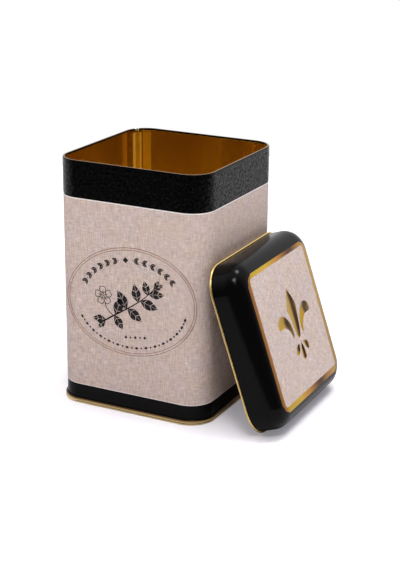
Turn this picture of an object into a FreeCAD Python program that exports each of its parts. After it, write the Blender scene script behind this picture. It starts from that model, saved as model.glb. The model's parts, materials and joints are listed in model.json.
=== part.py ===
"""Square tea canister in tinplate: a seamed body with a rolled mouth, its base, and the slip lid, which leans on it.

Millimetres, +Z up. The origin is the centre of the canister's foot, on the surface that it stands on.
"""
import FreeCAD, Part
import math
import os
from FreeCAD import Placement, Rotation, Vector

# Sheet metal.
sheet = 0.3                # tinplate, one thickness throughout
seam_gap = 0.03            # film of sealing compound between the layers of the base seam
fold = 0.1                 # inside radius of a fold pressed tight round another sheet

# Body: one sheet wrapped to a square with round corners, its two ends locked in the back left corner.
body_width = 80.0          # across the flats, outside, both ways
body_height = 122.9        # from the surface it stands on to the top of the rim
body_corner = 11.8         # outside radius of the four upright corners
rim_curl = 1.2             # outside diameter of the curl rolled inwards round the mouth
lock_width = 5.2           # width of the lock seam, along the wall
lock_layers = 2            # thicknesses of sheet by which the lock seam stands proud, inside
lock_middle = 39.0         # degrees from the left wall round to the middle of the lock seam
lock_notch = 1.2           # height cut back at each end of the lock seam, so that curl and flange can form

# Base: a shallow pan pushed up into the body and double seamed to its flange.
seam_height = 2.5          # height of the double seam, outside
seam_bend = 0.15           # inside radius of the seam's two lower bends
hook_space = 0.2           # space left beyond the end of each hook in the seam
base_recess = 3.0          # from the surface it stands on up to the underside of the pan
pan_bend = 0.8             # radius where the pan turns down into the chuck wall
pad_margin = 5.0           # from the chuck wall to the stiffening step round the pan
pad_rise = 0.5             # height of that step
pad_slope = 1.2            # its width

# Lid: drawn in one piece, with a broad round shoulder and its open edge curled outwards.
lid_clearance = 0.85       # between the body's outside and the lid's inside, on each side
lid_depth = 16.3           # outside, from the curled edge to the top
lid_shoulder = 9.0         # outside radius between side and top
lid_curl = 1.1             # outside diameter of the curl

# The lid stands on its curled edge beside the canister, its open side towards the right wall.
lean = 18.74               # degrees that the lid's top leans back from upright
turn = 0.8                 # degrees that it is turned about the vertical
lid_shift = 0.15           # how far it stands back of the canister's middle
touch = 0.2                # clearance where its upper edge meets the right wall

# What follows from these.
wall = body_width / 2                      # the outer face of a side, from the axis
straight = wall - body_corner              # half the straight run of each side
lid_inside = wall + lid_clearance


def direction(start, end):
    """Unit vector from one (x, z, radius) corner to the next."""
    dx = end[0] - start[0]
    dz = end[1] - start[1]
    length = math.hypot(dx, dz)
    return dx / length, dz / length


def offset_corners(corners, distance):
    """The same path moved to its left, so that bends to the left get tighter and bends to the right wider."""
    steps = [direction(a, b) for a, b in zip(corners, corners[1:])]
    before = [steps[0]] + steps
    after = steps + [steps[-1]]
    moved = []
    for (x, z, radius), (ax, az), (bx, bz) in zip(corners, before, after):
        scale = distance / (1 + ax * bx + az * bz)
        bend = math.copysign(distance, distance * (ax * bz - az * bx))
        moved.append((x - (az + bz) * scale, z + (ax + bx) * scale, max(radius - bend, 0) if radius else 0))
    return moved


def path_edges(corners):
    """Edges in the XZ plane through corners (x, z, radius), each corner rounded by its radius."""
    points = [Vector(x, 0, z) for x, z, _ in corners]
    edges = []
    last = points[0]
    for before, corner, after, (_, _, radius) in zip(points, points[1:], points[2:], corners[1:]):
        if radius == 0:
            edges.append(Part.LineSegment(last, corner).toShape())
            last = corner
            continue
        back = (before - corner).normalize()
        ahead = (after - corner).normalize()
        half_angle = back.getAngle(ahead) / 2
        reach = radius / math.tan(half_angle)
        centre = corner + (back + ahead).normalize() * (radius / math.sin(half_angle))
        middle = centre + (corner - centre).normalize() * radius
        first = corner + back * reach
        if (first - last).Length > 1e-6:
            edges.append(Part.LineSegment(last, first).toShape())
        last = corner + ahead * reach
        edges.append(Part.Arc(first, middle, last).toShape())
    edges.append(Part.LineSegment(last, points[-1]).toShape())
    return edges


def strip_section(corners, thickness):
    """Section of a bent sheet: the path is one face, and the metal lies to its left, or right if negative."""
    other = offset_corners(corners, thickness)
    ends = [Part.LineSegment(Vector(a[0], 0, a[1]), Vector(b[0], 0, b[1])).toShape()
            for a, b in ((corners[0], other[0]), (corners[-1], other[-1]))]
    outline = path_edges(corners) + path_edges(other) + ends
    return Part.Face(Part.Wire(Part.sortEdges(outline)[0]))


def around(section):
    """Carry a section once round the square: four straight runs and a quarter turn at each corner."""
    side = section.translated(Vector(0, -straight, 0)).extrude(Vector(0, 2 * straight, 0))
    corner = section.translated(Vector(0, straight, 0)).revolve(
        Vector(straight, straight, 0), Vector(0, 0, 1), 90)
    pieces = [piece.rotated(Vector(0, 0, 0), Vector(0, 0, 1), 90 * quarter)
              for quarter in range(4) for piece in (side, corner)]
    return pieces


def centre_plate(bottom):
    """The flat sheet inside the four corner centres, which closes a base or a top."""
    return Part.makeBox(2 * straight, 2 * straight, sheet, Vector(-straight, -straight, bottom))


def join(pieces):
    """One solid from pieces that meet face to face."""
    return pieces[0].multiFuse(pieces[1:]).removeSplitter().Solids[0]


# Where the layers of the double seam lie, from the body's outer face outwards.
cover_hook = wall + sheet + seam_gap               # outer face of the base's hook, tucked inside the body's
body_hook = cover_hook + seam_gap                  # inner face of the body's hook
seam_wall = body_hook + sheet + seam_gap           # inner face of the base's outermost layer
chuck_wall = wall - sheet - seam_gap               # face of the base against the inside of the body
flange_top = 2 * sheet + seam_gap                  # upper face of the body's flange
seam_roof = seam_height - sheet                    # underside of the fold over the body's hook
pan_top = base_recess + sheet


def make_wall():
    """The body: hook and flange at the foot, plain wall, and the mouth rolled inwards to a safe edge."""
    curl_bend = rim_curl / 2
    curl_inside = wall - rim_curl
    curl_bottom = body_height - rim_curl
    section = strip_section([
        (body_hook, seam_roof - hook_space, 0),
        (body_hook, flange_top, fold),
        (wall, flange_top, fold),
        (wall, body_height, curl_bend),
        (curl_inside, body_height, curl_bend),
        (curl_inside, curl_bottom, curl_bend),
        (wall - sheet - seam_gap, curl_bottom, 0),
    ], sheet)
    return join(around(section) + [make_lock_seam(pan_top + lock_notch, curl_bottom - lock_notch)])


def make_lock_seam(bottom, top):
    """The sheet's two ends, hooked together and pressed flat against the inside of the back left corner."""
    inside = body_corner - sheet
    face = inside - lock_layers * sheet
    span = math.degrees(lock_width / inside)
    outline = Part.makePolygon([
        Vector(-face, 0, bottom), Vector(-inside, 0, bottom), Vector(-inside, 0, top), Vector(-face, 0, top),
        Vector(-face, 0, bottom)])
    strip = Part.Face(outline).revolve(Vector(0, 0, 0), Vector(0, 0, 1), span)
    strip.rotate(Vector(0, 0, 0), Vector(0, 0, 1), -lock_middle - span / 2)
    return strip.translated(Vector(-straight, straight, 0))


def make_base():
    """The base: raised pad, pan, chuck wall, and the edge folded over the body's flange and hook."""
    pad_edge = chuck_wall - pad_margin
    section = strip_section([
        (straight, pan_top + pad_rise, 0),
        (pad_edge - pad_slope, pan_top + pad_rise, pan_bend),
        (pad_edge, pan_top, pan_bend),
        (chuck_wall, pan_top, pan_bend),
        (chuck_wall, sheet, seam_bend),
        (seam_wall, sheet, seam_bend),
        (seam_wall, seam_roof, fold),
        (cover_hook, seam_roof, fold),
        (cover_hook, flange_top + hook_space, 0),
    ], -sheet)
    return join(around(section) + [centre_plate(base_recess + pad_rise)])


def make_lid():
    """The lid, closed side up at the origin: flat top, round shoulder, plain side and a curled edge."""
    curl_bend = lid_curl / 2
    roof = lid_depth - sheet
    section = strip_section([
        (straight, roof, 0),
        (lid_inside, roof, lid_shoulder - sheet),
        (lid_inside, 0, curl_bend),
        (lid_inside + lid_curl, 0, curl_bend),
        (lid_inside + lid_curl, lid_curl, curl_bend),
        (lid_inside + sheet + seam_gap, lid_curl, 0),
    ], sheet)
    return join(around(section) + [centre_plate(roof)])


def lean_lid(lid):
    """Stand the lid on its lower curl, with its upper curl against the canister's right wall."""
    angle = math.radians(lean)
    curl_bend = lid_curl / 2
    curl_middle = lid_inside + curl_bend
    height = curl_middle * math.cos(angle) - curl_bend * math.sin(angle) + curl_bend
    reach = curl_middle * math.sin(angle) - curl_bend * math.cos(angle) + curl_bend
    tipped = lid.copy()
    tipped.Placement = Placement(Vector(0, 0, 0), Rotation(Vector(0, 1, 0), 90 - lean))
    # Turned about the vertical, one end of the upper edge comes nearer to the wall than its middle.
    swing = straight * math.sin(math.radians(turn))
    tipped.rotate(Vector(0, 0, 0), Vector(0, 0, 1), turn)
    return tipped.translated(Vector(wall + touch + reach + swing, lid_shift, height))


os.makedirs("parts", exist_ok=True)
nodes = {
    "canister_wall": make_wall(),
    "canister_base": make_base(),
    "lid": lean_lid(make_lid()),
}
for name, shape in nodes.items():
    box = shape.BoundBox
    print(name, shape.ShapeType, "valid" if shape.isValid() else "not valid", f"{shape.Volume:.1f} mm3",
          f"x {box.XMin:.2f} {box.XMax:.2f}  y {box.YMin:.2f} {box.YMax:.2f}  z {box.ZMin:.2f} {box.ZMax:.2f}")
    shape.exportStep(f"parts/{name}.step")
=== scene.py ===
"""Looks of the square tea canister: its printed tinplate body, gold lacquered base, and slip lid."""

import json
import math

import bmesh
import bpy
from mathutils import Matrix, Vector, noise

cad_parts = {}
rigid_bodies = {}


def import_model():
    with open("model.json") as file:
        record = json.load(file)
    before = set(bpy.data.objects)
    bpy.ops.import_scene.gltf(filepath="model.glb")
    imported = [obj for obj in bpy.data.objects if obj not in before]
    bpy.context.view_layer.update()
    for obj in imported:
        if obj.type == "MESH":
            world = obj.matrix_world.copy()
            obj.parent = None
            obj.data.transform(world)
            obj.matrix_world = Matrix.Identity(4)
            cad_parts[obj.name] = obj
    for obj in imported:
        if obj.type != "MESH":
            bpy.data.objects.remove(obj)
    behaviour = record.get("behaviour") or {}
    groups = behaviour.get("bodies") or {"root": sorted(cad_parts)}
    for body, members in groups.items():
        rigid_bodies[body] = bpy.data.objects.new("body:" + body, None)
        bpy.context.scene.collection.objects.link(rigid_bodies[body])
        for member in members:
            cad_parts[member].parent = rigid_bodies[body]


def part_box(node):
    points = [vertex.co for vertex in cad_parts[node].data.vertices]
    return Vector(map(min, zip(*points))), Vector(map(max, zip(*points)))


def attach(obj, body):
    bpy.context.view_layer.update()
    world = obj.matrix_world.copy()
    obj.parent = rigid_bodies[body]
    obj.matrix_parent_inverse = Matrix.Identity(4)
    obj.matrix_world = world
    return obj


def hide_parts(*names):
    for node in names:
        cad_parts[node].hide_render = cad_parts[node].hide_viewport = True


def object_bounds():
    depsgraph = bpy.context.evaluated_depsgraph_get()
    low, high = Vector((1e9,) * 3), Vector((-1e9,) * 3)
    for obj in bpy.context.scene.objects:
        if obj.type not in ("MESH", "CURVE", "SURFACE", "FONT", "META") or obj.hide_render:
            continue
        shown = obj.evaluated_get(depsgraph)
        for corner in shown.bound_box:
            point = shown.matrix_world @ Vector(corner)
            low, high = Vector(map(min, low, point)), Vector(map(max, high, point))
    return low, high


# Blender may open with a cube, a lamp and a camera of its own.
for spare in list(bpy.data.objects):
    bpy.data.objects.remove(spare)
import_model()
cad_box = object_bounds()

# Body -------------------------------------------------------------------------------------------------
# One sheet of printed tinplate bent to a square with round corners. Its mouth is rolled inwards to a safe
# edge, and its foot is hooked into the base seam. Outside it is litho printed: a linen look between two
# black bands, the upper one crinkled. Inside it is lacquered gold.
mm = 0.001
tiny = 0.001 * mm                              # verts nearer than this are one
close = 0.01 * mm                              # places nearer than this are the same
wall_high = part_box("canister_wall")[1]
sheet = 0.3 * mm
fold = 0.1 * mm                                # radius of a fold pressed tight round another sheet
seam_gap = 0.03 * mm
half_width = wall_high.x - 2 * sheet - 2 * seam_gap
body_corner = 11.8 * mm
half_run = half_width - body_corner            # half of a side's straight run
rim_top = wall_high.z
rim_curl = 1.2 * mm
rim_bend = 0.5 * mm                            # radius of the rim's two upper edges
hook_top = 2.0 * mm
flange_top = 2 * sheet + seam_gap
lower_band_top = 9.78 * mm
upper_band_foot = 104.75 * mm
crinkle_step = 0.6 * mm                        # mesh spacing in the crinkled band
crinkle_height = 0.085 * mm
corner_steps = 30


def bent_line(bm, corners, segments=6):
    """Wire in the XZ plane through corners (x, z, radius), each bend rounded."""
    verts = [bm.verts.new((x, 0, z)) for x, z, _ in corners]
    for pair in zip(verts, verts[1:]):
        bm.edges.new(pair)
    for vert, (_, _, radius) in zip(verts, corners):
        if radius:
            bmesh.ops.bevel(bm, geom=[vert], offset=radius, offset_type="OFFSET", segments=segments,
                            profile=0.5, affect="VERTICES", material=-1, clamp_overlap=False)
    bmesh.ops.remove_doubles(bm, verts=bm.verts[:], dist=tiny)


def carry_round(bm, run, run_steps, turn_steps):
    """Carry the wire round the square whose corners turn about (run, run): four runs, four quarter turns."""
    bmesh.ops.translate(bm, verts=bm.verts[:], vec=(0, -run, 0))
    last = bm.verts[:] + bm.edges[:]
    for quarter in range(4):
        turned = Matrix.Rotation(quarter * math.pi / 2, 3, "Z")
        stride = turned @ Vector((0, 2 * run / run_steps, 0))
        last = bmesh.ops.spin(bm, geom=last, cent=(0, 0, 0), axis=(0, 0, 1), dvec=stride, angle=0,
                              steps=run_steps, use_merge=False, use_duplicate=False)["geom_last"]
        last = bmesh.ops.spin(bm, geom=last, cent=turned @ Vector((run, run, 0)), axis=(0, 0, 1),
                              dvec=(0, 0, 0), angle=math.pi / 2, steps=turn_steps, use_merge=False,
                              use_duplicate=False)["geom_last"]
    bmesh.ops.remove_doubles(bm, verts=bm.verts[:], dist=tiny)
    bmesh.ops.recalc_face_normals(bm, faces=bm.faces[:])


def from_core(point, run):
    """How far a point lies outside the square that joins the four corner centres."""
    return math.hypot(max(abs(point.x) - run, 0), max(abs(point.y) - run, 0))


def outward(point, run):
    """Direction in which the sheet faces at a point: away from the nearest point of that square."""
    nearest = Vector((min(max(point.x, -run), run), min(max(point.y, -run), run), point.z))
    return (point - nearest).normalized()


def wrap_uv(bm, run, radius):
    """UV map in metres that follows the sheet: girth from the locked corner, and height."""
    layer = bm.loops.layers.uv.new("wrap")
    quarter_girth = 2 * run + radius * math.pi / 2
    for face in bm.faces:
        middle = face.calc_center_median()
        for quarter in range(4):
            back = Matrix.Rotation(-quarter * math.pi / 2, 3, "Z")
            seen = back @ middle
            if seen.x > run and seen.y > -run:
                break
        start = (quarter + 2) % 4 * quarter_girth
        for loop in face.loops:
            spot = back @ loop.vert.co
            girth = spot.y + run
            if seen.y > run:
                girth = 2 * run + radius * math.atan2(spot.y - run, spot.x - run)
            loop[layer].uv = (start + girth, spot.z)


def make_piece(bm, name, materials, sharp=35):
    """Turn a bmesh into an object, smooth but for edges sharper than the given angle."""
    for face in bm.faces:
        face.smooth = True
    mesh = bpy.data.meshes.new(name)
    bm.to_mesh(mesh)
    bm.free()
    mesh.set_sharp_from_angle(angle=math.radians(sharp))
    for material in materials:
        mesh.materials.append(material)
    piece = bpy.data.objects.new(name, mesh)
    bpy.context.scene.collection.objects.link(piece)
    return piece


def linear(colour):
    """An sRGB hex colour as the linear RGBA that a socket takes."""
    parts = [int(colour[i:i + 2], 16) / 255 for i in (1, 3, 5)]
    return [c / 12.92 if c <= 0.04045 else ((c + 0.055) / 1.055) ** 2.4 for c in parts] + [1]


def add(tree, kind, inputs=None, **settings):
    """Add a node: its settings, and for each input a value or the output that feeds it."""
    node = tree.nodes.new(kind)
    for name, value in settings.items():
        setattr(node, name, value)
    for name, value in (inputs or {}).items():
        if isinstance(value, bpy.types.NodeSocket):
            tree.links.new(value, node.inputs[name])
        else:
            node.inputs[name].default_value = value
    return node


def new_material(name):
    """An empty material and its node tree."""
    material = bpy.data.materials.new(name)
    material.use_nodes = True
    material.node_tree.nodes.clear()
    return material, material.node_tree


def shade(tree, shader):
    """Lead a shader to the material's surface."""
    add(tree, "ShaderNodeOutputMaterial", {"Surface": shader.outputs[0]})


def colour_ramp(tree, factor, stops):
    """Colours at places along a factor, as a socket."""
    node = add(tree, "ShaderNodeValToRGB", {"Fac": factor})
    band = node.color_ramp.elements
    while len(band) < len(stops):
        band.new(0.5)
    for element, (place, colour) in zip(band, stops):
        element.position = place
        element.color = linear(colour)
    return node.outputs["Color"]


def wave(tree, place, pitch):
    """A sine along one coordinate, as a socket."""
    turn = add(tree, "ShaderNodeMath", {0: place, 1: math.pi / pitch}, operation="MULTIPLY").outputs[0]
    return add(tree, "ShaderNodeMath", {0: turn}, operation="SINE").outputs[0]


def linen_print(name, uv_map, tones, borders=()):
    """Litho print of undyed linen under matt varnish: a fine weave of uneven threads, hardly glossy."""
    material, tree = new_material(name)
    uv = add(tree, "ShaderNodeUVMap", uv_map=uv_map).outputs["UV"]
    # Threads lie 0.6 mm apart, a little coarser than the cloth's so that they show, and wander by 0.25 mm.
    thread_pitch, wandering = 0.6 * mm, 0.5 * mm
    drift = add(tree, "ShaderNodeTexNoise", {"Vector": uv, "Scale": 90.0, "Detail": 1.0},
                noise_dimensions="2D").outputs["Color"]
    wander = add(tree, "ShaderNodeVectorMath", {0: drift, 1: (wandering, wandering, 0), 2: uv},
                 operation="MULTIPLY_ADD").outputs[0]
    across = add(tree, "ShaderNodeSeparateXYZ", {0: wander}).outputs
    checks = add(tree, "ShaderNodeMath", {
        0: wave(tree, across[0], thread_pitch), 1: wave(tree, across[1], thread_pitch)},
        operation="MULTIPLY").outputs[0]
    # Each thread swells and thins: streaks just over 0.5 mm wide and about 4 mm long, both ways.
    warp_place = add(tree, "ShaderNodeMapping", {"Vector": uv, "Scale": (1800, 230, 1)}).outputs[0]
    weft_place = add(tree, "ShaderNodeMapping", {"Vector": uv, "Scale": (270, 1800, 1)}).outputs[0]
    warp = add(tree, "ShaderNodeTexNoise", {"Vector": warp_place, "Scale": 1.0, "Detail": 2.0},
               noise_dimensions="2D").outputs[0]
    weft = add(tree, "ShaderNodeTexNoise", {"Vector": weft_place, "Scale": 1.0, "Detail": 2.0},
               noise_dimensions="2D").outputs[0]
    threads = add(tree, "ShaderNodeMix", {0: 0.48, 2: warp, 3: weft}, data_type="FLOAT").outputs[0]
    weave = add(tree, "ShaderNodeMath", {0: checks, 1: 0.08, 2: threads}, operation="MULTIPLY_ADD").outputs[0]
    colour = colour_ramp(tree, weave, list(zip((0.30, 0.44, 0.55, 0.70), tones)))
    # The cloth is here a little yellower, there a little rosier.
    patches = add(tree, "ShaderNodeTexNoise", {"Vector": uv, "Scale": 110.0, "Detail": 1.0},
                  noise_dimensions="2D").outputs[0]
    shift = colour_ramp(tree, patches, [(0.35, "#fdf8f3"), (0.65, "#fbf8fa")])
    colour = add(tree, "ShaderNodeMix", {0: 1.0, 6: colour, 7: shift}, data_type="RGBA",
                 blend_type="MULTIPLY").outputs[2]
    # A hairline of pale ground is left between the cloth and a black band.
    half_hairline = 0.22 * mm
    height = add(tree, "ShaderNodeSeparateXYZ", {0: uv}).outputs[1]
    for border, paleness in borders:
        line = add(tree, "ShaderNodeMath", {0: height, 1: border, 2: half_hairline},
                   operation="COMPARE").outputs[0]
        line = add(tree, "ShaderNodeMath", {0: line, 1: paleness}, operation="MULTIPLY").outputs[0]
        colour = add(tree, "ShaderNodeMix", {0: line, 6: colour, 7: linear("#fbf6f3")},
                     data_type="RGBA").outputs[2]
    bump = add(tree, "ShaderNodeBump", {"Strength": 0.2, "Distance": 0.01 * mm, "Height": threads})
    shade(tree, add(tree, "ShaderNodeBsdfPrincipled", {
        "Base Color": colour, "Roughness": 0.55, "Specular IOR Level": 0.25, "Normal": bump.outputs[0]}))
    return material


def crinkle_lacquer(name):
    """Black crinkle lacquer: stoved so that it shrinks into fine folds, which break its gloss into flecks."""
    material, tree = new_material(name)
    uv = add(tree, "ShaderNodeUVMap", uv_map="wrap").outputs["UV"]
    # Folds finer than the mesh's, about 1.1 mm wide and half as tall again.
    place = add(tree, "ShaderNodeMapping", {"Vector": uv, "Scale": (900, 600, 1)}).outputs[0]
    folds = add(tree, "ShaderNodeTexNoise", {"Vector": place, "Scale": 1.0, "Detail": 2.0, "Distortion": 0.5},
                noise_dimensions="2D").outputs[0]
    bump = add(tree, "ShaderNodeBump", {"Strength": 1.0, "Distance": 0.15 * mm, "Height": folds})
    # Between the folds the lacquer dries duller, which gives the flecks.
    dry_place = add(tree, "ShaderNodeMapping", {"Vector": uv, "Scale": (1150, 780, 1)}).outputs[0]
    dry = add(tree, "ShaderNodeTexNoise", {"Vector": dry_place, "Scale": 1.0, "Detail": 2.0},
              noise_dimensions="2D").outputs[0]
    gloss = add(tree, "ShaderNodeMapRange", {0: dry, 1: 0.33, 2: 0.67, 3: 0.02, 4: 0.28}).outputs[0]
    shade(tree, add(tree, "ShaderNodeBsdfPrincipled", {
        "Base Color": linear("#010101"), "Roughness": 0.16, "Specular IOR Level": gloss,
        "Normal": bump.outputs[0]}))
    return material


def black_lacquer(name):
    """Black stoving lacquer: deep and glossy, with a faint orange peel that softens what it mirrors."""
    material, tree = new_material(name)
    place = add(tree, "ShaderNodeTexCoord").outputs["Object"]
    peel = add(tree, "ShaderNodeTexNoise", {"Vector": place, "Scale": 420.0, "Detail": 2.0}).outputs[0]
    bump = add(tree, "ShaderNodeBump", {"Strength": 0.25, "Distance": 0.02 * mm, "Height": peel})
    rough = add(tree, "ShaderNodeMapRange", {0: peel, 3: 0.10, 4: 0.20}).outputs[0]
    shade(tree, add(tree, "ShaderNodeBsdfPrincipled", {
        "Base Color": linear("#040304"), "Roughness": rough, "Specular IOR Level": 0.115,
        "Normal": bump.outputs[0]}))
    return material


def gold_lacquer(name, tone="#ecdd98", roughness=0.11, metal=1.0):
    """Clear gold lacquer on bright tinplate: a metal's mirror in deep yellow, with fine rolling lines."""
    material, tree = new_material(name)
    place = add(tree, "ShaderNodeTexCoord").outputs["Object"]
    # Rolling lines run upright, about 0.3 mm apart.
    lines_place = add(tree, "ShaderNodeMapping", {"Vector": place, "Scale": (3000, 3000, 60)}).outputs[0]
    lines = add(tree, "ShaderNodeTexNoise", {"Vector": lines_place, "Scale": 1.0, "Detail": 2.0}).outputs[0]
    rough = add(tree, "ShaderNodeMapRange", {0: lines, 3: roughness * 0.6, 4: roughness * 1.4}).outputs[0]
    shade(tree, add(tree, "ShaderNodeBsdfPrincipled", {
        "Base Color": linear(tone), "Metallic": metal, "Roughness": rough, "Specular IOR Level": 0.3}))
    return material


band_gap = 0.2 * mm                            # from a band to the middle of its pale hairline
linen = linen_print("linen_look_litho_print", "wrap", ("#b4a299", "#c8b6ad", "#d2c1b9", "#e4d6cf"),
                    ((upper_band_foot - band_gap, 0.9), (lower_band_top + band_gap, 0.6)))
crinkle = crinkle_lacquer("black_crinkle_lacquer")
black = black_lacquer("black_stoving_lacquer")
gold = gold_lacquer("gold_lacquered_tinplate")
# Pressed by the seaming tool, the lacquer is duller and deeper. On the flat beside the lock seam its brighter
# tone is painted light, for the light caught there. On the rim the lacquer is worn brown and is partly a
# painted highlight along the crest, and in the dents pale bare steel is a painted glint.
pressed_gold_painted_light = gold_lacquer("gold_lacquer_pressed_painted_light", tone="#f0a41c", roughness=0.32, metal=0.6)
worn_edge_and_highlight = gold_lacquer("tinplate_bare_at_worn_edge_and_painted_highlight", tone="#b8925e", roughness=0.30)
painted_glint_steel = gold_lacquer("painted_glint_on_bare_steel", tone="#f4ede2", roughness=0.25)

body = bmesh.new()
curl_low = rim_top - rim_curl
linen_rows = 12
crinkle_rows = round((curl_low - upper_band_foot) / crinkle_step)
rows = [lower_band_top + (upper_band_foot - lower_band_top) * i / linen_rows for i in range(linen_rows)]
rows += [upper_band_foot + (curl_low - upper_band_foot) * i / crinkle_rows for i in range(crinkle_rows + 1)]
bent_line(body, [
    (wall_high.x - sheet, hook_top, 0), (wall_high.x - sheet, flange_top, fold),
    (half_width, flange_top, fold), *((half_width, row, 0) for row in rows),
    (half_width, rim_top, rim_bend), (half_width - rim_curl, rim_top, rim_bend),
    (half_width - rim_curl, curl_low, rim_curl / 2), (half_width - sheet - seam_gap, curl_low, 0)])
carry_round(body, half_run, round(2 * half_run / crinkle_step), corner_steps)
printed = set(body.faces)
bmesh.ops.solidify(body, geom=body.faces[:], thickness=sheet)
LINEN, CRINKLE, BLACK, GOLD, PRESSED_PAINTED_LIGHT, WORN_AND_HIGHLIGHT, GLINT = range(7)
curl_bare = 0.15 * mm                          # the print ends short of the sheet's edge
for face in body.faces:
    middle = face.calc_center_median()
    reach = from_core(middle, half_run)
    if face not in printed:
        face.material_index = GOLD
    elif middle.z < lower_band_top:
        face.material_index = BLACK
    elif middle.z < upper_band_foot:
        face.material_index = LINEN
    elif middle.z < curl_low:
        face.material_index = CRINKLE
    # The rim's top land: bare worn metal, pale also as a painted highlight along the curl's crest.
    elif middle.z > rim_top - close:
        face.material_index = WORN_AND_HIGHLIGHT
    elif middle.z > curl_low + curl_bare or reach > body_corner - rim_curl / 2:
        face.material_index = BLACK
    else:
        face.material_index = GOLD
wrap_uv(body, half_run, body_corner)

# The larger folds of the crinkle stand out of the band, and die away at its edges.
wrap = body.loops.layers.uv["wrap"]
fold_fade = 1.0 * mm
fold_stretch = 1.7                             # folds are longer upright than across
for vert in {v for face in printed if face.material_index == CRINKLE for v in face.verts}:
    fade = min(max(min(vert.co.z - upper_band_foot, curl_low - vert.co.z) / fold_fade, 0), 1)
    u, v = vert.link_loops[0][wrap].uv
    folds = sum(share * (1 - 3 * abs(noise.noise(Vector((u / width, v / width / fold_stretch, 3.7)))))
                for width, share in ((1.7 * mm, 0.6), (1.1 * mm, 0.4)))
    vert.co += outward(vert.co, half_run) * folds * fade * crinkle_height

# Beside the lock seam the end of the sheet lies as a narrow flat across the inside of the corner.
lock_foot = 4.5 * mm
lock_from = math.radians(25.8)                 # angles go from the left wall round to the back
lock_to = math.radians(52.6)
flat_to = math.radians(76.2)
lock_centre = Vector((-half_run, half_run, 0))
inside_radius = body_corner - sheet
dents, dent_half = (math.radians(34), math.radians(41)), math.radians(1.7)
dent_depth = 0.3 * mm


def in_dent(angle):
    """Whether a place round the corner lies in a dent that the double thickness leaves in the curl."""
    return any(abs(angle - dent) < dent_half for dent in dents)


for vert in body.verts:
    arm = Vector((vert.co.x + half_run, vert.co.y - half_run))
    angle = math.atan2(arm.y, -arm.x)
    if lock_to < angle < flat_to and abs(arm.length - inside_radius) < close:
        off_middle = angle - (lock_to + flat_to) / 2
        arm *= math.cos((flat_to - lock_to) / 2) / math.cos(off_middle)
        vert.co.x, vert.co.y = arm.x - half_run, arm.y + half_run
    if vert.co.z > curl_low and in_dent(angle):
        vert.co.z -= dent_depth
for face in body.faces:
    middle = face.calc_center_median()
    angle = math.atan2(middle.y - half_run, -middle.x - half_run)
    in_curl = middle.z > curl_low and from_core(middle, half_run) < body_corner - rim_curl / 3
    # Faces in the dents get pale bare steel: painted glints.
    if face.material_index in (WORN_AND_HIGHLIGHT, BLACK) and in_curl and in_dent(angle):
        face.material_index = GLINT
    # The flat beside the lock seam gets the brighter pressed gold: painted light for the light it catches.
    if face.material_index == GOLD and lock_foot < middle.z < curl_low and lock_to < angle < flat_to:
        face.material_index = PRESSED_PAINTED_LIGHT
body_piece = make_piece(body, "canister_body", [
    linen, crinkle, black, gold, pressed_gold_painted_light, worn_edge_and_highlight, painted_glint_steel])
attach(body_piece, "root")
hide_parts("canister_wall")

# Lock seam --------------------------------------------------------------------------------------------
# The sheet's two ends are hooked into each other and pressed flat against the inside of the corner: a
# ridge two layers high with soft edges, cut back at top and foot so that curl and flange can form.
lock_top = curl_low - 1.2 * mm
lock_steps = 40
lock_proud = 2 * sheet
lock_back = 0.02 * mm                          # its back face lies this deep in the sheet
lock_shoulder = 0.30                           # share of its width that each rounded edge takes
lock_dip = 0.12                                # share of its height by which its middle is pressed in
highlight_bands = ((0.04, 0.24), (0.72, 0.86))    # shares of its width that carry a painted highlight
# On its rounded edges the ridge gets a pale, nearly matt gold: painted highlights where those edges catch
# light.
ridge_highlight_gold = gold_lacquer("gold_lacquer_painted_highlight_on_ridge", tone="#ffc450", roughness=0.30, metal=0.25)
ridge = bmesh.new()
upright = [ridge.verts.new((-inside_radius - lock_back, 0, height)) for height in (lock_foot, lock_top)]
bmesh.ops.spin(ridge, geom=[*upright, ridge.edges.new(upright)], cent=(0, 0, 0), axis=(0, 0, 1),
               dvec=(0, 0, 0), angle=lock_from - lock_to, steps=lock_steps, use_merge=False,
               use_duplicate=False)
front = bmesh.ops.extrude_face_region(ridge, geom=ridge.faces[:], use_keep_orig=True)["geom"]
for vert in (g for g in front if isinstance(g, bmesh.types.BMVert)):
    share = math.atan2(vert.co.y, -vert.co.x) / (lock_to - lock_from)
    rise = math.sin(min(share, 1 - share, lock_shoulder) / lock_shoulder * math.pi / 2)
    dip = lock_dip * max(math.sin((share - lock_shoulder) / (1 - 2 * lock_shoulder) * math.pi), 0)
    vert.co.xy *= 1 - (lock_back + lock_proud * max(rise - dip, 0.02)) / inside_radius
bmesh.ops.recalc_face_normals(ridge, faces=ridge.faces[:])
bmesh.ops.rotate(ridge, verts=ridge.verts[:], cent=(0, 0, 0), matrix=Matrix.Rotation(-lock_from, 3, "Z"))
bmesh.ops.translate(ridge, verts=ridge.verts[:], vec=lock_centre)
for face in ridge.faces:
    middle = face.calc_center_median() - lock_centre
    share = (math.atan2(middle.y, -middle.x) - lock_from) / (lock_to - lock_from)
    face.material_index = 1 if any(start < share < end for start, end in highlight_bands) else 0
ridge_piece = make_piece(ridge, "lock_seam", [pressed_gold_painted_light, ridge_highlight_gold])
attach(ridge_piece, "root")
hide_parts("canister_wall")

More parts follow.
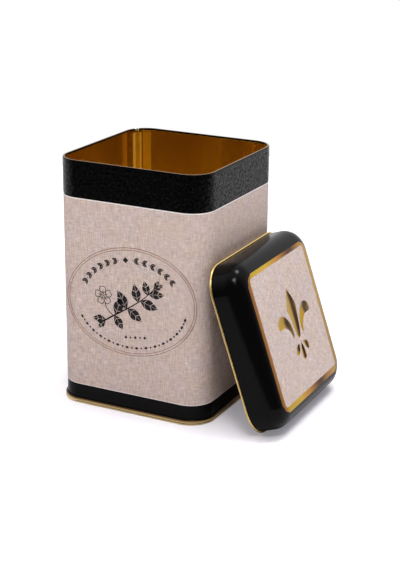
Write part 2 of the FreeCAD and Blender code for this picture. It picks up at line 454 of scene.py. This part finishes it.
# Base -------------------------------------------------------------------------------------------------
# A shallow pan of gold lacquered tinplate, pushed up into the body and double seamed to its flange. The
# seaming roll leaves the ring round its foot with two soft beads and a groove between them.
base_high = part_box("canister_base")[1]
seam_height = 2.5 * mm
seam_bend = 0.15 * mm
hook_space = 0.2 * mm                          # left between the end of the hook and the body's flange
base_recess = 3.0 * mm
pan_bend = 0.8 * mm
pad_margin = 5.0 * mm
pad_rise = 0.5 * mm
pad_slope = 1.2 * mm
pad_bend = 0.4 * mm
groove_depth = 0.22 * mm
groove_half = 0.32                             # share of the seam's height from mid groove to its edge
chuck_wall = half_width - sheet - seam_gap
seam_wall = base_high.x - sheet
cover_hook = half_width + sheet + seam_gap
pad_edge = chuck_wall - pad_margin
seam_rows = [sheet + (seam_height - 2 * sheet) * i / 12 for i in range(1, 12)]
pan_top = base_recess + sheet
base = bmesh.new()
bent_line(base, [
    (half_run, pan_top + pad_rise, 0), (pad_edge - pad_slope, pan_top + pad_rise, pad_bend),
    (pad_edge, pan_top, pad_bend), (chuck_wall, pan_top, pan_bend),
    (chuck_wall, sheet, seam_bend), (seam_wall, sheet, seam_bend),
    *((seam_wall, row, 0) for row in seam_rows),
    (seam_wall, seam_height - sheet, fold), (cover_hook, seam_height - sheet, fold),
    (cover_hook, flange_top + hook_space, 0)])
carry_round(base, half_run, 8, corner_steps)
pan_edges = [e for e in base.edges if e.is_boundary and e.verts[0].co.z > base_recess]
bmesh.ops.holes_fill(base, edges=pan_edges, sides=0)
bmesh.ops.recalc_face_normals(base, faces=base.faces[:])
bmesh.ops.solidify(base, geom=base.faces[:], thickness=-sheet)
# A wall built inwards may leave every face turned in.
if base.calc_volume(signed=True) < 0:
    bmesh.ops.reverse_faces(base, faces=base.faces[:])
outer_wall = seam_wall + sheet - half_run
wall_reach = half_width - half_run + 2 * close
for vert in base.verts:
    if from_core(vert.co, half_run) > outer_wall - close:
        share = (vert.co.z / seam_height - 0.5) / groove_half
        if abs(share) < 1:
            vert.co -= outward(vert.co, half_run) * groove_depth * math.cos(share * math.pi / 2) ** 2
RING, PAN, FOLD_SHADE, UPPER_BEAD_SHADE = range(4)
bead_foot, fold_foot = 0.56 * seam_height, 0.86 * seam_height
pan_reach = chuck_wall - half_run - 0.5 * mm
for face in base.faces:
    middle = face.calc_center_median()
    reach = from_core(middle, half_run)
    if middle.z > base_recess and reach < pan_reach:
        face.material_index = PAN
    # Above the groove's middle, the upper bead and the top fold take painted shade.
    elif middle.z > bead_foot and reach > wall_reach:
        face.material_index = FOLD_SHADE if middle.z > fold_foot else UPPER_BEAD_SHADE
    else:
        face.material_index = RING
# The upper bead is painted browner and the fold at the seam's top dark: painted reflection of a darker room
# on the bead, and painted shade in the fold. The rest of the ring is a pale gold, and the pan, which no tool
# polishes, keeps a satin face.
satin_gold = gold_lacquer("satin_gold_lacquer", roughness=0.45, metal=0.62)
ring_gold = gold_lacquer("gold_lacquer_on_seam", tone="#f2d89c", roughness=0.20)
fold_painted_shade = gold_lacquer("gold_lacquer_painted_shade_in_seam_fold", tone="#5e4a30", roughness=0.30)
upper_bead_painted_shade = gold_lacquer("gold_lacquer_painted_shade_on_upper_bead", tone="#b99a68", roughness=0.24)
base_piece = make_piece(base, "canister_base_pan", [ring_gold, satin_gold, fold_painted_shade, upper_bead_painted_shade])
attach(base_piece, "root")
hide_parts("canister_base")

# Print on the front -----------------------------------------------------------------------------------
# A label printed on the front: a double oval line in rose, and in charcoal a tea sprig with a blossom, a
# garland of small leaves over it and a string of dots below. Each ink lies as a thin layer on the sheet.
ink_height = 0.02 * mm
ink_gap = 0.002 * mm                           # keeps the ink's back clear of the sheet's face
label_middle = Vector((1.76 * mm, 57.2 * mm))
label_turn = math.radians(7.5)
oval_a, oval_b = 35.5 * mm, 27.0 * mm


def printing_ink(name, colour):
    """Offset ink on tinplate: matt, with the slight unevenness of a printed solid."""
    material, tree = new_material(name)
    place = add(tree, "ShaderNodeTexCoord").outputs["Object"]
    grain = add(tree, "ShaderNodeTexNoise", {"Vector": place, "Scale": 1500.0, "Detail": 1.0}).outputs[0]
    tone = add(tree, "ShaderNodeMapRange", {0: grain, 3: 0.8, 4: 1.2}).outputs[0]
    ink = add(tree, "ShaderNodeMix", {0: 1.0, 6: linear(colour), 7: tone}, data_type="RGBA",
              blend_type="MULTIPLY").outputs[2]
    shade(tree, add(tree, "ShaderNodeBsdfPrincipled", {
        "Base Color": ink, "Roughness": 0.5, "Specular IOR Level": 0.25}))
    return material


def along(points, share):
    """The point at a share from 0 to 1 of the smooth line through points."""
    place = min(max(share, 0), 1) * (len(points) - 1)
    i = min(int(place), len(points) - 2)
    f = place - i
    a, b, c, d = (Vector(points[min(max(k, 0), len(points) - 1)]) for k in (i - 1, i, i + 1, i + 2))
    return (2 * b + (c - a) * f + (2 * a - 5 * b + 4 * c - d) * f ** 2 + (3 * b - 3 * c + d - a) * f ** 3) / 2


def strip_between(bm, first, second, steps, across, slant=0.0, part=(0, 1)):
    """Grid that fills the space between two lines; returns {vert: (share along, share across)}."""
    shares = {}
    for vert in bmesh.ops.create_grid(bm, x_segments=steps, y_segments=across, size=0.5)["verts"]:
        over = vert.co.y + 0.5
        on = part[0] + (part[1] - part[0]) * (vert.co.x + 0.5)
        start = along(first, on)
        end = along(second, on + slant * over)
        shares[vert] = (on, over)
        vert.co = (start.lerp(end, over)).to_3d()
    return shares


def stroke(bm, points, start_width, end_width, steps=16):
    """A drawn line that swells or tapers."""
    sides = ([], [])
    for i in range(steps + 1):
        share = i / steps
        here = along(points, share)
        way = (along(points, min(share + 0.01, 1)) - along(points, max(share - 0.01, 0))).normalized()
        half = (start_width + (end_width - start_width) * share) / 2
        for side, sign in zip(sides, (1, -1)):
            side.append(here + Vector((-way.y, way.x)) * half * sign)
    strip_between(bm, sides[0], sides[1], steps, 1)


def leaf(bm, foot, angle, length, width, veins=4, vein=0.16 * mm):
    """A tea leaf in two halves along a bare midrib, each cut by bare side veins."""
    forward = Vector((math.cos(angle), math.sin(angle))) * length
    sideways = Vector((-math.sin(angle), math.cos(angle)))
    # Half its outline, as shares of its length and of its width.
    outline = [(0, 0), (0.12, 0.22), (0.32, 0.46), (0.55, 0.48), (0.78, 0.27), (0.93, 0.08), (1, 0)]
    foot = Vector(foot)
    gap = 0.6 * vein / length
    for side in (1, -1):
        rib = [foot + forward * x + sideways * side * min(vein / 2, width * y) for x, y in outline]
        edge = [foot + forward * x + sideways * side * max(width * y, vein / 2) for x, y in outline]
        for i in range(veins):
            start = i / veins + (gap if i else 0)
            end = (i + 1) / veins - (gap if i < veins - 1 else 0)
            strip_between(bm, rib, edge, 6, 1, slant=0.10, part=(start, end))


def dot(bm, middle, radius, sides=14):
    """A round or, with four sides, a lozenge-shaped dot."""
    made = bmesh.ops.create_circle(bm, cap_ends=True, segments=sides, radius=radius)["verts"]
    bmesh.ops.translate(bm, verts=made, vec=Vector(middle).to_3d())
    return made


def on_oval(angle, share):
    """A point on an oval that is a share of the label's."""
    return Vector((oval_a * share * math.cos(angle), oval_b * share * math.sin(angle)))


def oval_heading(angle):
    """Direction in which the oval's line runs at an angle."""
    return math.atan2(oval_b * math.cos(angle), -oval_a * math.sin(angle))


def lay_ink(bm, name, material):
    """Give the drawing its thickness, turn it upright and lay it on the front of the body."""
    bmesh.ops.remove_doubles(bm, verts=bm.verts[:], dist=2 * tiny)
    bmesh.ops.dissolve_degenerate(bm, edges=bm.edges[:], dist=tiny)
    bmesh.ops.recalc_face_normals(bm, faces=bm.faces[:])
    for face in bm.faces:
        if face.normal.z < 0:
            face.normal_flip()
    raised = bmesh.ops.extrude_face_region(bm, geom=bm.faces[:])["geom"]
    front = {v for v in raised if isinstance(v, bmesh.types.BMVert)}
    bmesh.ops.translate(bm, verts=list(front), vec=(0, 0, ink_height))
    for face in bm.faces:
        if all(v not in front for v in face.verts) and face.normal.z > 0:
            face.normal_flip()
    bmesh.ops.recalc_face_normals(bm, faces=bm.faces[:])
    stand = (Matrix.Translation((label_middle.x, -half_width - ink_gap, label_middle.y))
             @ Matrix.Rotation(math.pi / 2, 4, "X") @ Matrix.Rotation(label_turn, 4, "Z"))
    bmesh.ops.transform(bm, matrix=stand, verts=bm.verts[:])
    piece = make_piece(bm, name, [material])
    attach(piece, "root")
    return piece


rose_ink = printing_ink("rose_litho_ink", "#8f6647")
charcoal_ink = printing_ink("charcoal_litho_ink", "#191516")

ovals = bmesh.new()
for inset, width in ((0, 0.30 * mm), (1.15 * mm, 0.27 * mm)):
    loops = []
    for edge in (inset, inset + width):
        made = bmesh.ops.create_circle(ovals, cap_ends=False, segments=160, radius=1)["verts"]
        bmesh.ops.scale(ovals, verts=made, vec=(oval_a - edge, oval_b - edge, 1))
        loops += {e for v in made for e in v.link_edges}
    bmesh.ops.bridge_loops(ovals, edges=loops)
lay_ink(ovals, "print_double_oval", rose_ink)

sprig = bmesh.new()
stem = [(-15 * mm, -8 * mm), (-8 * mm, -4.7 * mm), (0, -1 * mm), (8 * mm, 3.3 * mm), (15 * mm, 8.5 * mm)]
stroke(sprig, stem, 0.9 * mm, 0.35 * mm, 28)
flower_stalk = [(-9.5 * mm, -5.4 * mm), (-12.5 * mm, -2 * mm), (-13.3 * mm, 1.5 * mm)]
stroke(sprig, flower_stalk, 0.5 * mm, 0.35 * mm)
# Leaves: the foot's place, the direction in degrees, length and width.
leaf_fullness = 1.12
for foot_x, foot_y, angle, length, width in (
        (-14, -7.6, 172, 7.5, 3.6), (-14.5, -7.8, 222, 6.0, 2.8), (-8.2, -4.8, 62, 9.5, 4.6),
        (-8.8, -5.2, -62, 8.0, 4.0), (-1.6, -1.8, 112, 10.0, 4.8), (-1.0, -1.6, -42, 9.5, 4.6),
        (5.2, 1.7, 96, 9.2, 4.4), (6.5, 2.4, -24, 10.0, 4.6), (11.0, 5.2, 98, 7.4, 3.6),
        (11.6, 5.8, -2, 8.4, 3.8), (14.8, 8.4, 52, 5.6, 2.2), (14.2, 8.0, 24, 6.6, 2.4)):
    leaf(sprig, (foot_x * mm, foot_y * mm), math.radians(angle), length * mm, leaf_fullness * width * mm)
blossom = Vector((-13.6 * mm, 4.6 * mm))
# Half a petal's outline, in mm outwards from the blossom's middle and to the side.
petal = [(1.0, 0), (1.7, 1.25), (3.2, 1.9), (4.5, 1.35), (4.7, 0.35), (4.45, 0)]
for i in range(5):
    turn = math.radians(90 + 72 * i)
    out = Vector((math.cos(turn), math.sin(turn)))
    side = Vector((-out.y, out.x))
    for sign in (1, -1):
        outer = [blossom + (out * x + side * y * sign) * mm for x, y in petal]
        inner = [blossom + (out * (x * 0.86 + 0.35) + side * y * sign * 0.80) * mm for x, y in petal]
        strip_between(sprig, outer, inner, 20, 1)
    for lean in (-0.24, 0, 0.24):
        ray = (out + side * lean) * mm
        stroke(sprig, [blossom + ray * 1.1, blossom + ray * (2.9 - abs(lean) * 2)], 0.28 * mm, 0.10 * mm, 4)
    dot(sprig, blossom + out * 0.75 * mm, 0.26 * mm, 10)
dot(sprig, blossom, 0.3 * mm, 10)
bmesh.ops.translate(sprig, verts=sprig.verts[:], vec=(-1.2 * mm, -1.6 * mm, 0))
lay_ink(sprig, "print_tea_sprig", charcoal_ink)

garland = bmesh.new()
for i in range(-6, 7):
    angle = math.pi / 2 - i * math.radians(9.5)
    here = on_oval(angle, 0.77)
    if i == 0:
        dot(garland, here, 1.5 * mm, 4)
        continue
    heading = oval_heading(angle) + (math.pi if i > 0 else 0)
    for side in (1, -1):
        leaf(garland, here, heading + side * 0.50, 3.3 * mm, 1.6 * mm, veins=1, vein=0.10 * mm)
    dot(garland, here - Vector((math.cos(heading), math.sin(heading))) * 0.55 * mm, 0.24 * mm, 8)
# The string round the foot of the oval has a dot between every two lozenges, and so has the short row.
string_marks = 28
for i in range(string_marks + 1):
    angle = math.radians(200 + 140 * i / string_marks)
    here = on_oval(angle, 0.85)
    if i % 2:
        dot(garland, here, 0.48 * mm, 10)
    else:
        lozenge = dot(garland, (0, 0), 1.15 * mm, 4)
        bmesh.ops.scale(garland, verts=lozenge, vec=(1, 0.62, 1))
        bmesh.ops.rotate(garland, verts=lozenge, cent=(0, 0, 0),
                         matrix=Matrix.Rotation(oval_heading(angle), 3, "Z"))
        bmesh.ops.translate(garland, verts=lozenge, vec=here.to_3d())
for i in range(-2, 3):
    radius, sides = (0.5 * mm, 10) if i % 2 else (0.85 * mm, 4)
    dot(garland, (i * 2.6 * mm, -17.6 * mm), radius, sides)
lay_ink(garland, "print_garland", charcoal_ink)

# Lid --------------------------------------------------------------------------------------------------
# A slip lid drawn in one piece: flat top, broad round shoulder, plain side, and the open edge curled
# outwards so that the gold lacquer of its inside shows. Outside it is black, with a linen look panel in a
# gold frame on top, and a lily pressed into the panel. It leans against the body's right wall.
lid_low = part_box("lid")[0]
lid_clearance = 0.85 * mm
lid_inside = half_width + lid_clearance
lid_depth = 16.3 * mm
lid_shoulder = 9.0 * mm
lid_curl = 1.1 * mm
lid_lean = math.radians(18.74)
lid_turn = math.radians(0.8)
frame_inner, frame_inner_corner = 31.27 * mm, 1.9 * mm
frame_outer_corner = 4.2 * mm
shoulder_steps = 20
frame_rows = 2                                 # rows of the shoulder that the frame covers
lid_outside = lid_inside + sheet
frame_outer = lid_outside - lid_shoulder + lid_shoulder * math.sin(frame_rows * math.pi / 2 / shoulder_steps)
lily_middle = 1.3 * mm
lily_depth = 0.55 * mm
lily_bottom = 0.62                             # share across a blade at which its groove is deepest


def gold_ramp_painted_shade(name, tones):
    """Transparent gold and brown inks over bright tinplate, with painted shade and reflection in a colour
    ramp, so that a flat print looks like a bar.
    """
    material, tree = new_material(name)
    uv = add(tree, "ShaderNodeUVMap", uv_map="gilt").outputs["UV"]
    across = add(tree, "ShaderNodeSeparateXYZ", {0: uv}).outputs[0]
    colour = colour_ramp(tree, across, tones)
    place = add(tree, "ShaderNodeTexCoord").outputs["Object"]
    grain = add(tree, "ShaderNodeTexNoise", {"Vector": place, "Scale": 900.0, "Detail": 2.0}).outputs[0]
    rough = add(tree, "ShaderNodeMapRange", {0: grain, 3: 0.26, 4: 0.40}).outputs[0]
    shade(tree, add(tree, "ShaderNodeBsdfPrincipled", {
        "Base Color": colour, "Metallic": 0.85, "Roughness": rough, "Specular IOR Level": 0.3}))
    return material


panel_linen = linen_print("linen_look_panel_print", "panel", ("#b3a29a", "#c8b7af", "#d2c3bd", "#e4d8d3"))
gilt = gold_ramp_painted_shade("gold_frame_painted_shade", [
    (0.0, "#94602a"), (0.028, "#a36c2a"), (0.07, "#c4a028"), (0.27, "#d0a92c"), (0.45, "#bd8028"),
    (0.61, "#54320f"), (0.67, "#4a2c14"), (0.78, "#a8743a"), (0.90, "#b8923c"), (1.0, "#a07c3e")])
lily_painted_shade = gold_ramp_painted_shade("gold_lily_painted_shade", [
    (0.08, "#74541a"), (0.15, "#c49e28"), (0.50, "#b48c22"), (0.58, "#6e4c1a"), (0.64, "#3c260c"),
    (0.76, "#4a3014"), (0.86, "#85652e"), (0.92, "#c8a870")])

lid = bmesh.new()
curl_bend = lid_curl / 2 - sheet
curl_outside = lid_inside + lid_curl - sheet
bent_line(lid, [
    (frame_inner, lid_depth, 0), (lid_outside, lid_depth, lid_shoulder), (lid_outside, sheet, curl_bend),
    (curl_outside, sheet, curl_bend), (curl_outside, lid_curl - sheet, curl_bend),
    (lid_outside + seam_gap, lid_curl - sheet, 0)], segments=shoulder_steps)
carry_round(lid, half_run, 16, corner_steps)


def retune_corners(verts, half, corner):
    """Give a ring of verts its own corner radius, and keep it on the lid's shoulder."""
    run = half - corner
    for vert in verts:
        x, y = abs(vert.co.x), abs(vert.co.y)
        if x > half_run and y > half_run:
            angle = math.atan2(y - half_run, x - half_run)
            x, y = run + corner * math.cos(angle), run + corner * math.sin(angle)
        elif x > half_run:
            y *= run / half_run
        else:
            x *= run / half_run
        vert.co.x, vert.co.y = math.copysign(x, vert.co.x), math.copysign(y, vert.co.y)
        past = (from_core(vert.co, half_run) - (lid_outside - lid_shoulder - half_run)) / lid_shoulder
        vert.co.z = lid_depth - lid_shoulder * (1 - math.cos(math.asin(min(max(past, 0), 1))))


# The rings of verts from the frame's inner edge outwards, by their reach in hundredths of a millimetre.
rings = {}
for vert in lid.verts:
    rings.setdefault(round(from_core(vert.co, half_run) / close), []).append(vert)
inner_ring = rings[round((frame_inner - half_run) / close)]
outer_ring = [v for key, ring in rings.items() if abs(key * close - (frame_outer - half_run)) < 2 * close
              for v in ring]
retune_corners(inner_ring, frame_inner, frame_inner_corner)
retune_corners(outer_ring, frame_outer, frame_outer_corner)
for key, ring in rings.items():
    reach = key * close + half_run
    if frame_inner + 10 * close < reach < frame_outer - 10 * close:
        share = (reach - frame_inner) / (frame_outer - frame_inner)
        retune_corners(ring, reach, frame_inner_corner + share * (frame_outer_corner - frame_inner_corner))
# The print sits a little high and to the left on the lid.
for vert in inner_ring:
    vert.co.y -= 0.45 * mm
    if vert.co.x < 0:
        vert.co.x -= 0.85 * mm

# The lily: a spear, two curled blades, two feet and a stem, each a groove between two lines, which are given
# in mm down and across from its middle. It is symmetrical, so what stands at either side is drawn once.
spear_half = [(-17.9, 0), (-15.4, 1.5), (-13.9, 2.55), (-12.5, 3.35), (-11.2, 4.05), (-9.4, 4.95),
              (-8.1, 5.3), (-6.9, 4.85), (-5.3, 4.35), (-3.5, 3.95), (-1.0, 3.5), (1.2, 3.05), (3.2, 2.5),
              (5.0, 1.9), (6.4, 1.2), (7.3, 0)]
blade_upper = [(5.95, 5.7), (3.9, 4.5), (1.6, 4.6), (-0.95, 5.3), (-3.45, 6.8), (-5.7, 8.8), (-7.1, 11.0),
               (-7.5, 13.2), (-7.2, 15.2), (-6.1, 17.1), (-4.7, 18.2), (-3.2, 18.4), (-2.2, 18.1),
               (-1.65, 17.4)]
blade_lower = [(5.95, 5.7), (5.0, 6.4), (3.2, 7.0), (1.15, 8.2), (-0.3, 9.75), (-1.28, 11.6), (-1.68, 13.75),
               (-1.75, 15.9), (-1.65, 17.4)]
foot_upper = [(9.6, 2.1), (9.5, 4.3), (10.8, 6.3), (12.8, 7.3), (14.3, 6.8)]
foot_lower = [(9.6, 2.1), (11.3, 2.8), (13.0, 3.7), (14.2, 5.0), (14.3, 6.8)]
stem_half = [(9.2, 0), (10.8, 0.85), (12.4, 1.5), (14.6, 1.95), (16.8, 1.95), (18.0, 0)]


def mirrored(line):
    """The same line on the lily's other side."""
    return [(x, -y) for x, y in line]


gilt_uv = lid.loops.layers.uv.new("gilt")
panel_uv = lid.loops.layers.uv.new("panel")
blades = [(mirrored(spear_half), spear_half), (mirrored(blade_upper), mirrored(blade_lower)),
          (blade_lower, blade_upper), (mirrored(foot_upper), mirrored(foot_lower)), (foot_lower, foot_upper),
          (mirrored(stem_half), stem_half)]
groove_faces = set()
for first, second in blades:
    before = set(lid.faces)
    lines = [[Vector((x * mm, y * mm + lily_middle)) for x, y in line] for line in (first, second)]
    shares = strip_between(lid, lines[0], lines[1], 40, 10)
    left, right = min(v.co.y for v in shares), max(v.co.y for v in shares)
    for vert, (on, over) in shares.items():
        width = (along(lines[0], on) - along(lines[1], on)).length
        side = lily_bottom if over < lily_bottom else 1 - lily_bottom
        slope = 1 - abs((over - lily_bottom) / side) ** 1.3
        vert.co.z = lid_depth - min(lily_depth, 0.28 * width) * max(slope, 0)
    made = [f for f in lid.faces if f not in before]
    groove_faces.update(made)
    # Across each blade the ramp darkens towards the groove's bottom and right-hand wall: painted shade over
    # the groove's own.
    for face in made:
        for loop in face.loops:
            spread = (loop.vert.co.y - left) / (right - left)
            loop[gilt_uv].uv = (0.08 + 0.84 * spread, 0)
bmesh.ops.remove_doubles(lid, verts=lid.verts[:], dist=4 * tiny)
groove_faces = {f for f in groove_faces if f.is_valid}

# The flat panel fills what is left between the frame and the lily's grooves.
panel_ring = [e for e in lid.edges if e.is_boundary and max(abs(c) for c in e.verts[0].co.xy) < frame_outer
              and all(abs(v.co.z - lid_depth) < tiny for v in e.verts)]
panel_faces = {g for g in bmesh.ops.triangle_fill(lid, edges=panel_ring, use_beauty=True)["geom"]
               if isinstance(g, bmesh.types.BMFace)}
bmesh.ops.recalc_face_normals(lid, faces=lid.faces[:])
top_face = max(lid.faces, key=lambda f: f.calc_center_median().z)
if top_face.normal.z < 0:
    bmesh.ops.reverse_faces(lid, faces=lid.faces[:])
outside_faces = set(lid.faces)
bmesh.ops.solidify(lid, geom=lid.faces[:], thickness=sheet)
OUTSIDE, CURL, PANEL, FRAME, INSIDE, LILY = range(6)
frame_fall = 0.2 * mm                          # how far below the top the frame's outer edge lies, at most
curl_shade_strip = 0.3 * mm                          # width of the curl's edge beside the lid's wall that is black: painted shade in the crevice
for face in lid.faces:
    middle = face.calc_center_median()
    past_wall = from_core(middle, half_run) + half_run - lid_outside
    if face not in outside_faces:
        face.material_index = INSIDE if middle.z > lid_curl else CURL
        # Beside the lid's wall the curl's edge is black: painted shade in the crevice between curl and wall.
        if middle.z > 0.6 * lid_curl and 0 < past_wall < curl_shade_strip:
            face.material_index = OUTSIDE
    elif face in groove_faces:
        face.material_index = LILY
    elif face in panel_faces:
        face.material_index = PANEL
    elif middle.z > lid_depth - frame_fall:
        face.material_index = FRAME
    else:
        face.material_index = OUTSIDE
    for loop in face.loops:
        spot = loop.vert.co
        loop[panel_uv].uv = (spot.y, -spot.x)
        if face.material_index == FRAME:
            # The painted shade and reflection run a little aslant, so that the upper bar's dark part lies
            # farther right.
            slant = 1 - 0.06 * (1 - spot.x / frame_outer)
            loop[gilt_uv].uv = ((spot.y + frame_outer) / (2 * frame_outer) * slant, 0)
# It is a hair smaller than the solid that it stands for, so that it stays inside that one's box.
hair_smaller = 0.9998
stand = (Matrix.Rotation(lid_turn, 4, "Z") @ Matrix.Rotation(math.pi / 2 - lid_lean, 4, "Y")
         @ Matrix.Scale(hair_smaller, 4))
bmesh.ops.transform(lid, matrix=stand, verts=lid.verts[:])
place = Vector([wanted - min(v.co[axis] for v in lid.verts) for axis, wanted in enumerate(lid_low)])
bmesh.ops.translate(lid, verts=lid.verts[:], vec=place)
# The curl is a pale, bright gold. Inside the lid the lacquer is a deep brown: painted shade, darker than the
# lid's gold, so that the lid throws less light onto the body's wall beside it.
curl_gold = gold_lacquer("gold_lacquer_inside_lid", tone="#f5d488", roughness=0.28)
deep_gold_painted_shade = gold_lacquer("deep_gold_lacquer_painted_shade", tone="#7d5822", roughness=0.30)
lid_piece = make_piece(lid, "slip_lid", [black, curl_gold, panel_linen, gilt, deep_gold_painted_shade, lily_painted_shade])
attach(lid_piece, "root")
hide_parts("lid")

# Table, light and camera ------------------------------------------------------------------------------
# A round white table top that glows a little, so that shadows on it stay pale; matt light mostly from
# overhead and from low down all round; a dark room in front, which only gloss mirrors; and four small lamps.
table = bmesh.new()
table_gap = 0.05 * mm
bmesh.ops.create_circle(table, cap_ends=True, segments=96, radius=400 * mm)
bmesh.ops.translate(table, verts=table.verts[:], vec=(20 * mm, 130 * mm, cad_box[0][2] - table_gap))
floor_material, tree = new_material("white_table_top")
rays = add(tree, "ShaderNodeLightPath").outputs
# What gloss mirrors of it is darker than what it throws on matt things, so that black gloss stays black.
white = add(tree, "ShaderNodeMix", {
    0: rays["Is Glossy Ray"], 6: linear("#f2eff3"), 7: linear("#cfcccf")}, data_type="RGBA").outputs[2]
paper = add(tree, "ShaderNodeBsdfDiffuse", {"Color": white})
glow = add(tree, "ShaderNodeEmission", {"Color": linear("#f6f4ff"), "Strength": 0.22})
both = add(tree, "ShaderNodeAddShader", {0: paper.outputs[0], 1: glow.outputs[0]})
seen = add(tree, "ShaderNodeMixShader", {0: rays["Is Camera Ray"], 1: paper.outputs[0], 2: both.outputs[0]})
shade(tree, seen)
floor = make_piece(table, "table_top", [floor_material])

world = bpy.data.worlds.new("studio")
bpy.context.scene.world = world
world.use_nodes = True
world.cycles.sampling_method = "NONE"          # the dome is smooth, so rays find it without a map of it
tree = world.node_tree
tree.nodes.clear()
rays = add(tree, "ShaderNodeLightPath").outputs
way = add(tree, "ShaderNodeTexCoord").outputs["Generated"]
# Gloss mirrors a room that is dark in front of the object, to its right, and white behind it.
toward_front = add(tree, "ShaderNodeVectorMath", {0: way, 1: (0.50, -0.80, -0.30)}, operation="DOT_PRODUCT")
room = add(tree, "ShaderNodeMapRange", {0: toward_front.outputs["Value"], 1: -0.25, 2: 0.45, 3: 1.0, 4: 0.16},
           interpolation_type="SMOOTHSTEP").outputs[0]
mirrored_light = add(tree, "ShaderNodeMath", {0: rays["Is Glossy Ray"], 1: rays["Is Transmission Ray"]},
                     operation="MAXIMUM").outputs[0]
# Matt surfaces are lit mostly from overhead, and from below the horizon past the table's edge.
overhead, all_round, from_below, narrowness = 6.2, 0.12, 1.65, 14.0
up = add(tree, "ShaderNodeSeparateXYZ", {0: way}).outputs[2]
upper = add(tree, "ShaderNodeMath", {0: up, 1: 0.0}, operation="MAXIMUM").outputs[0]
zenith = add(tree, "ShaderNodeMath", {0: upper, 1: narrowness}, operation="POWER").outputs[0]
dome = add(tree, "ShaderNodeMath", {0: zenith, 1: overhead, 2: all_round},
           operation="MULTIPLY_ADD").outputs[0]
above = add(tree, "ShaderNodeMapRange", {0: up, 1: -0.03, 2: 0.0}).outputs[0]
dome = add(tree, "ShaderNodeMix", {0: above, 2: from_below, 3: dome}, data_type="FLOAT").outputs[0]
level = add(tree, "ShaderNodeMix", {0: mirrored_light, 2: dome, 3: room}, data_type="FLOAT").outputs[0]
level = add(tree, "ShaderNodeMix", {0: rays["Is Camera Ray"], 2: level, 3: 1.0}, data_type="FLOAT").outputs[0]
sky = add(tree, "ShaderNodeBackground", {"Color": (1, 1, 1, 1), "Strength": level})
add(tree, "ShaderNodeOutputWorld", {"Surface": sky.outputs[0]})


def stand_off(thing, aim, azimuth, elevation, distance):
    """Place a lamp or the camera at a distance from what it points at, seen from there under two angles."""
    back = Vector((math.sin(azimuth) * math.cos(elevation), -math.cos(azimuth) * math.cos(elevation),
                   math.sin(elevation)))
    thing.matrix_world = (Matrix.Translation(aim + back * distance)
                          @ back.to_track_quat("Z", "Y").to_matrix().to_4x4())


scene = bpy.context.scene
for name, azimuth, elevation, distance, size, power in (
        ("front_softbox", 34, 57, 2.6, 0.68, 13.6), ("top_softbox", 130, 76, 2.4, 0.64, 13.6),
        ("side_softbox", 20, 56, 2.6, 0.52, 3.2), ("spot_lamp", 38, 44, 2.6, 0.18, 1.2)):
    lamp_data = bpy.data.lights.new(name, "AREA")
    lamp_data.shape = "DISK"
    lamp_data.size = size
    lamp_data.energy = power
    lamp = bpy.data.objects.new(name, lamp_data)
    scene.collection.objects.link(lamp)
    stand_off(lamp, Vector((0, 0, 0)), math.radians(azimuth), math.radians(elevation), distance)

# Light that goes down into a lacquered tin comes back only after a dozen mirrorings.
scene.cycles.max_bounces = 32
scene.cycles.glossy_bounces = 32
scene.view_settings.view_transform = "Standard"
camera_data = bpy.data.cameras.new("camera")
camera_data.lens = 88.68
camera_data.clip_start = 0.01
camera_data.clip_end = 20
camera = bpy.data.objects.new("camera", camera_data)
scene.collection.objects.link(camera)
camera_aim = Vector((6.954, 21.873, 48.431)) * mm
camera_roll = 0.008
stand_off(camera, camera_aim, azimuth=0.472, elevation=0.325, distance=718.9 * mm)
camera.matrix_world = camera.matrix_world @ Matrix.Rotation(camera_roll, 4, "Z")
scene.camera = camera
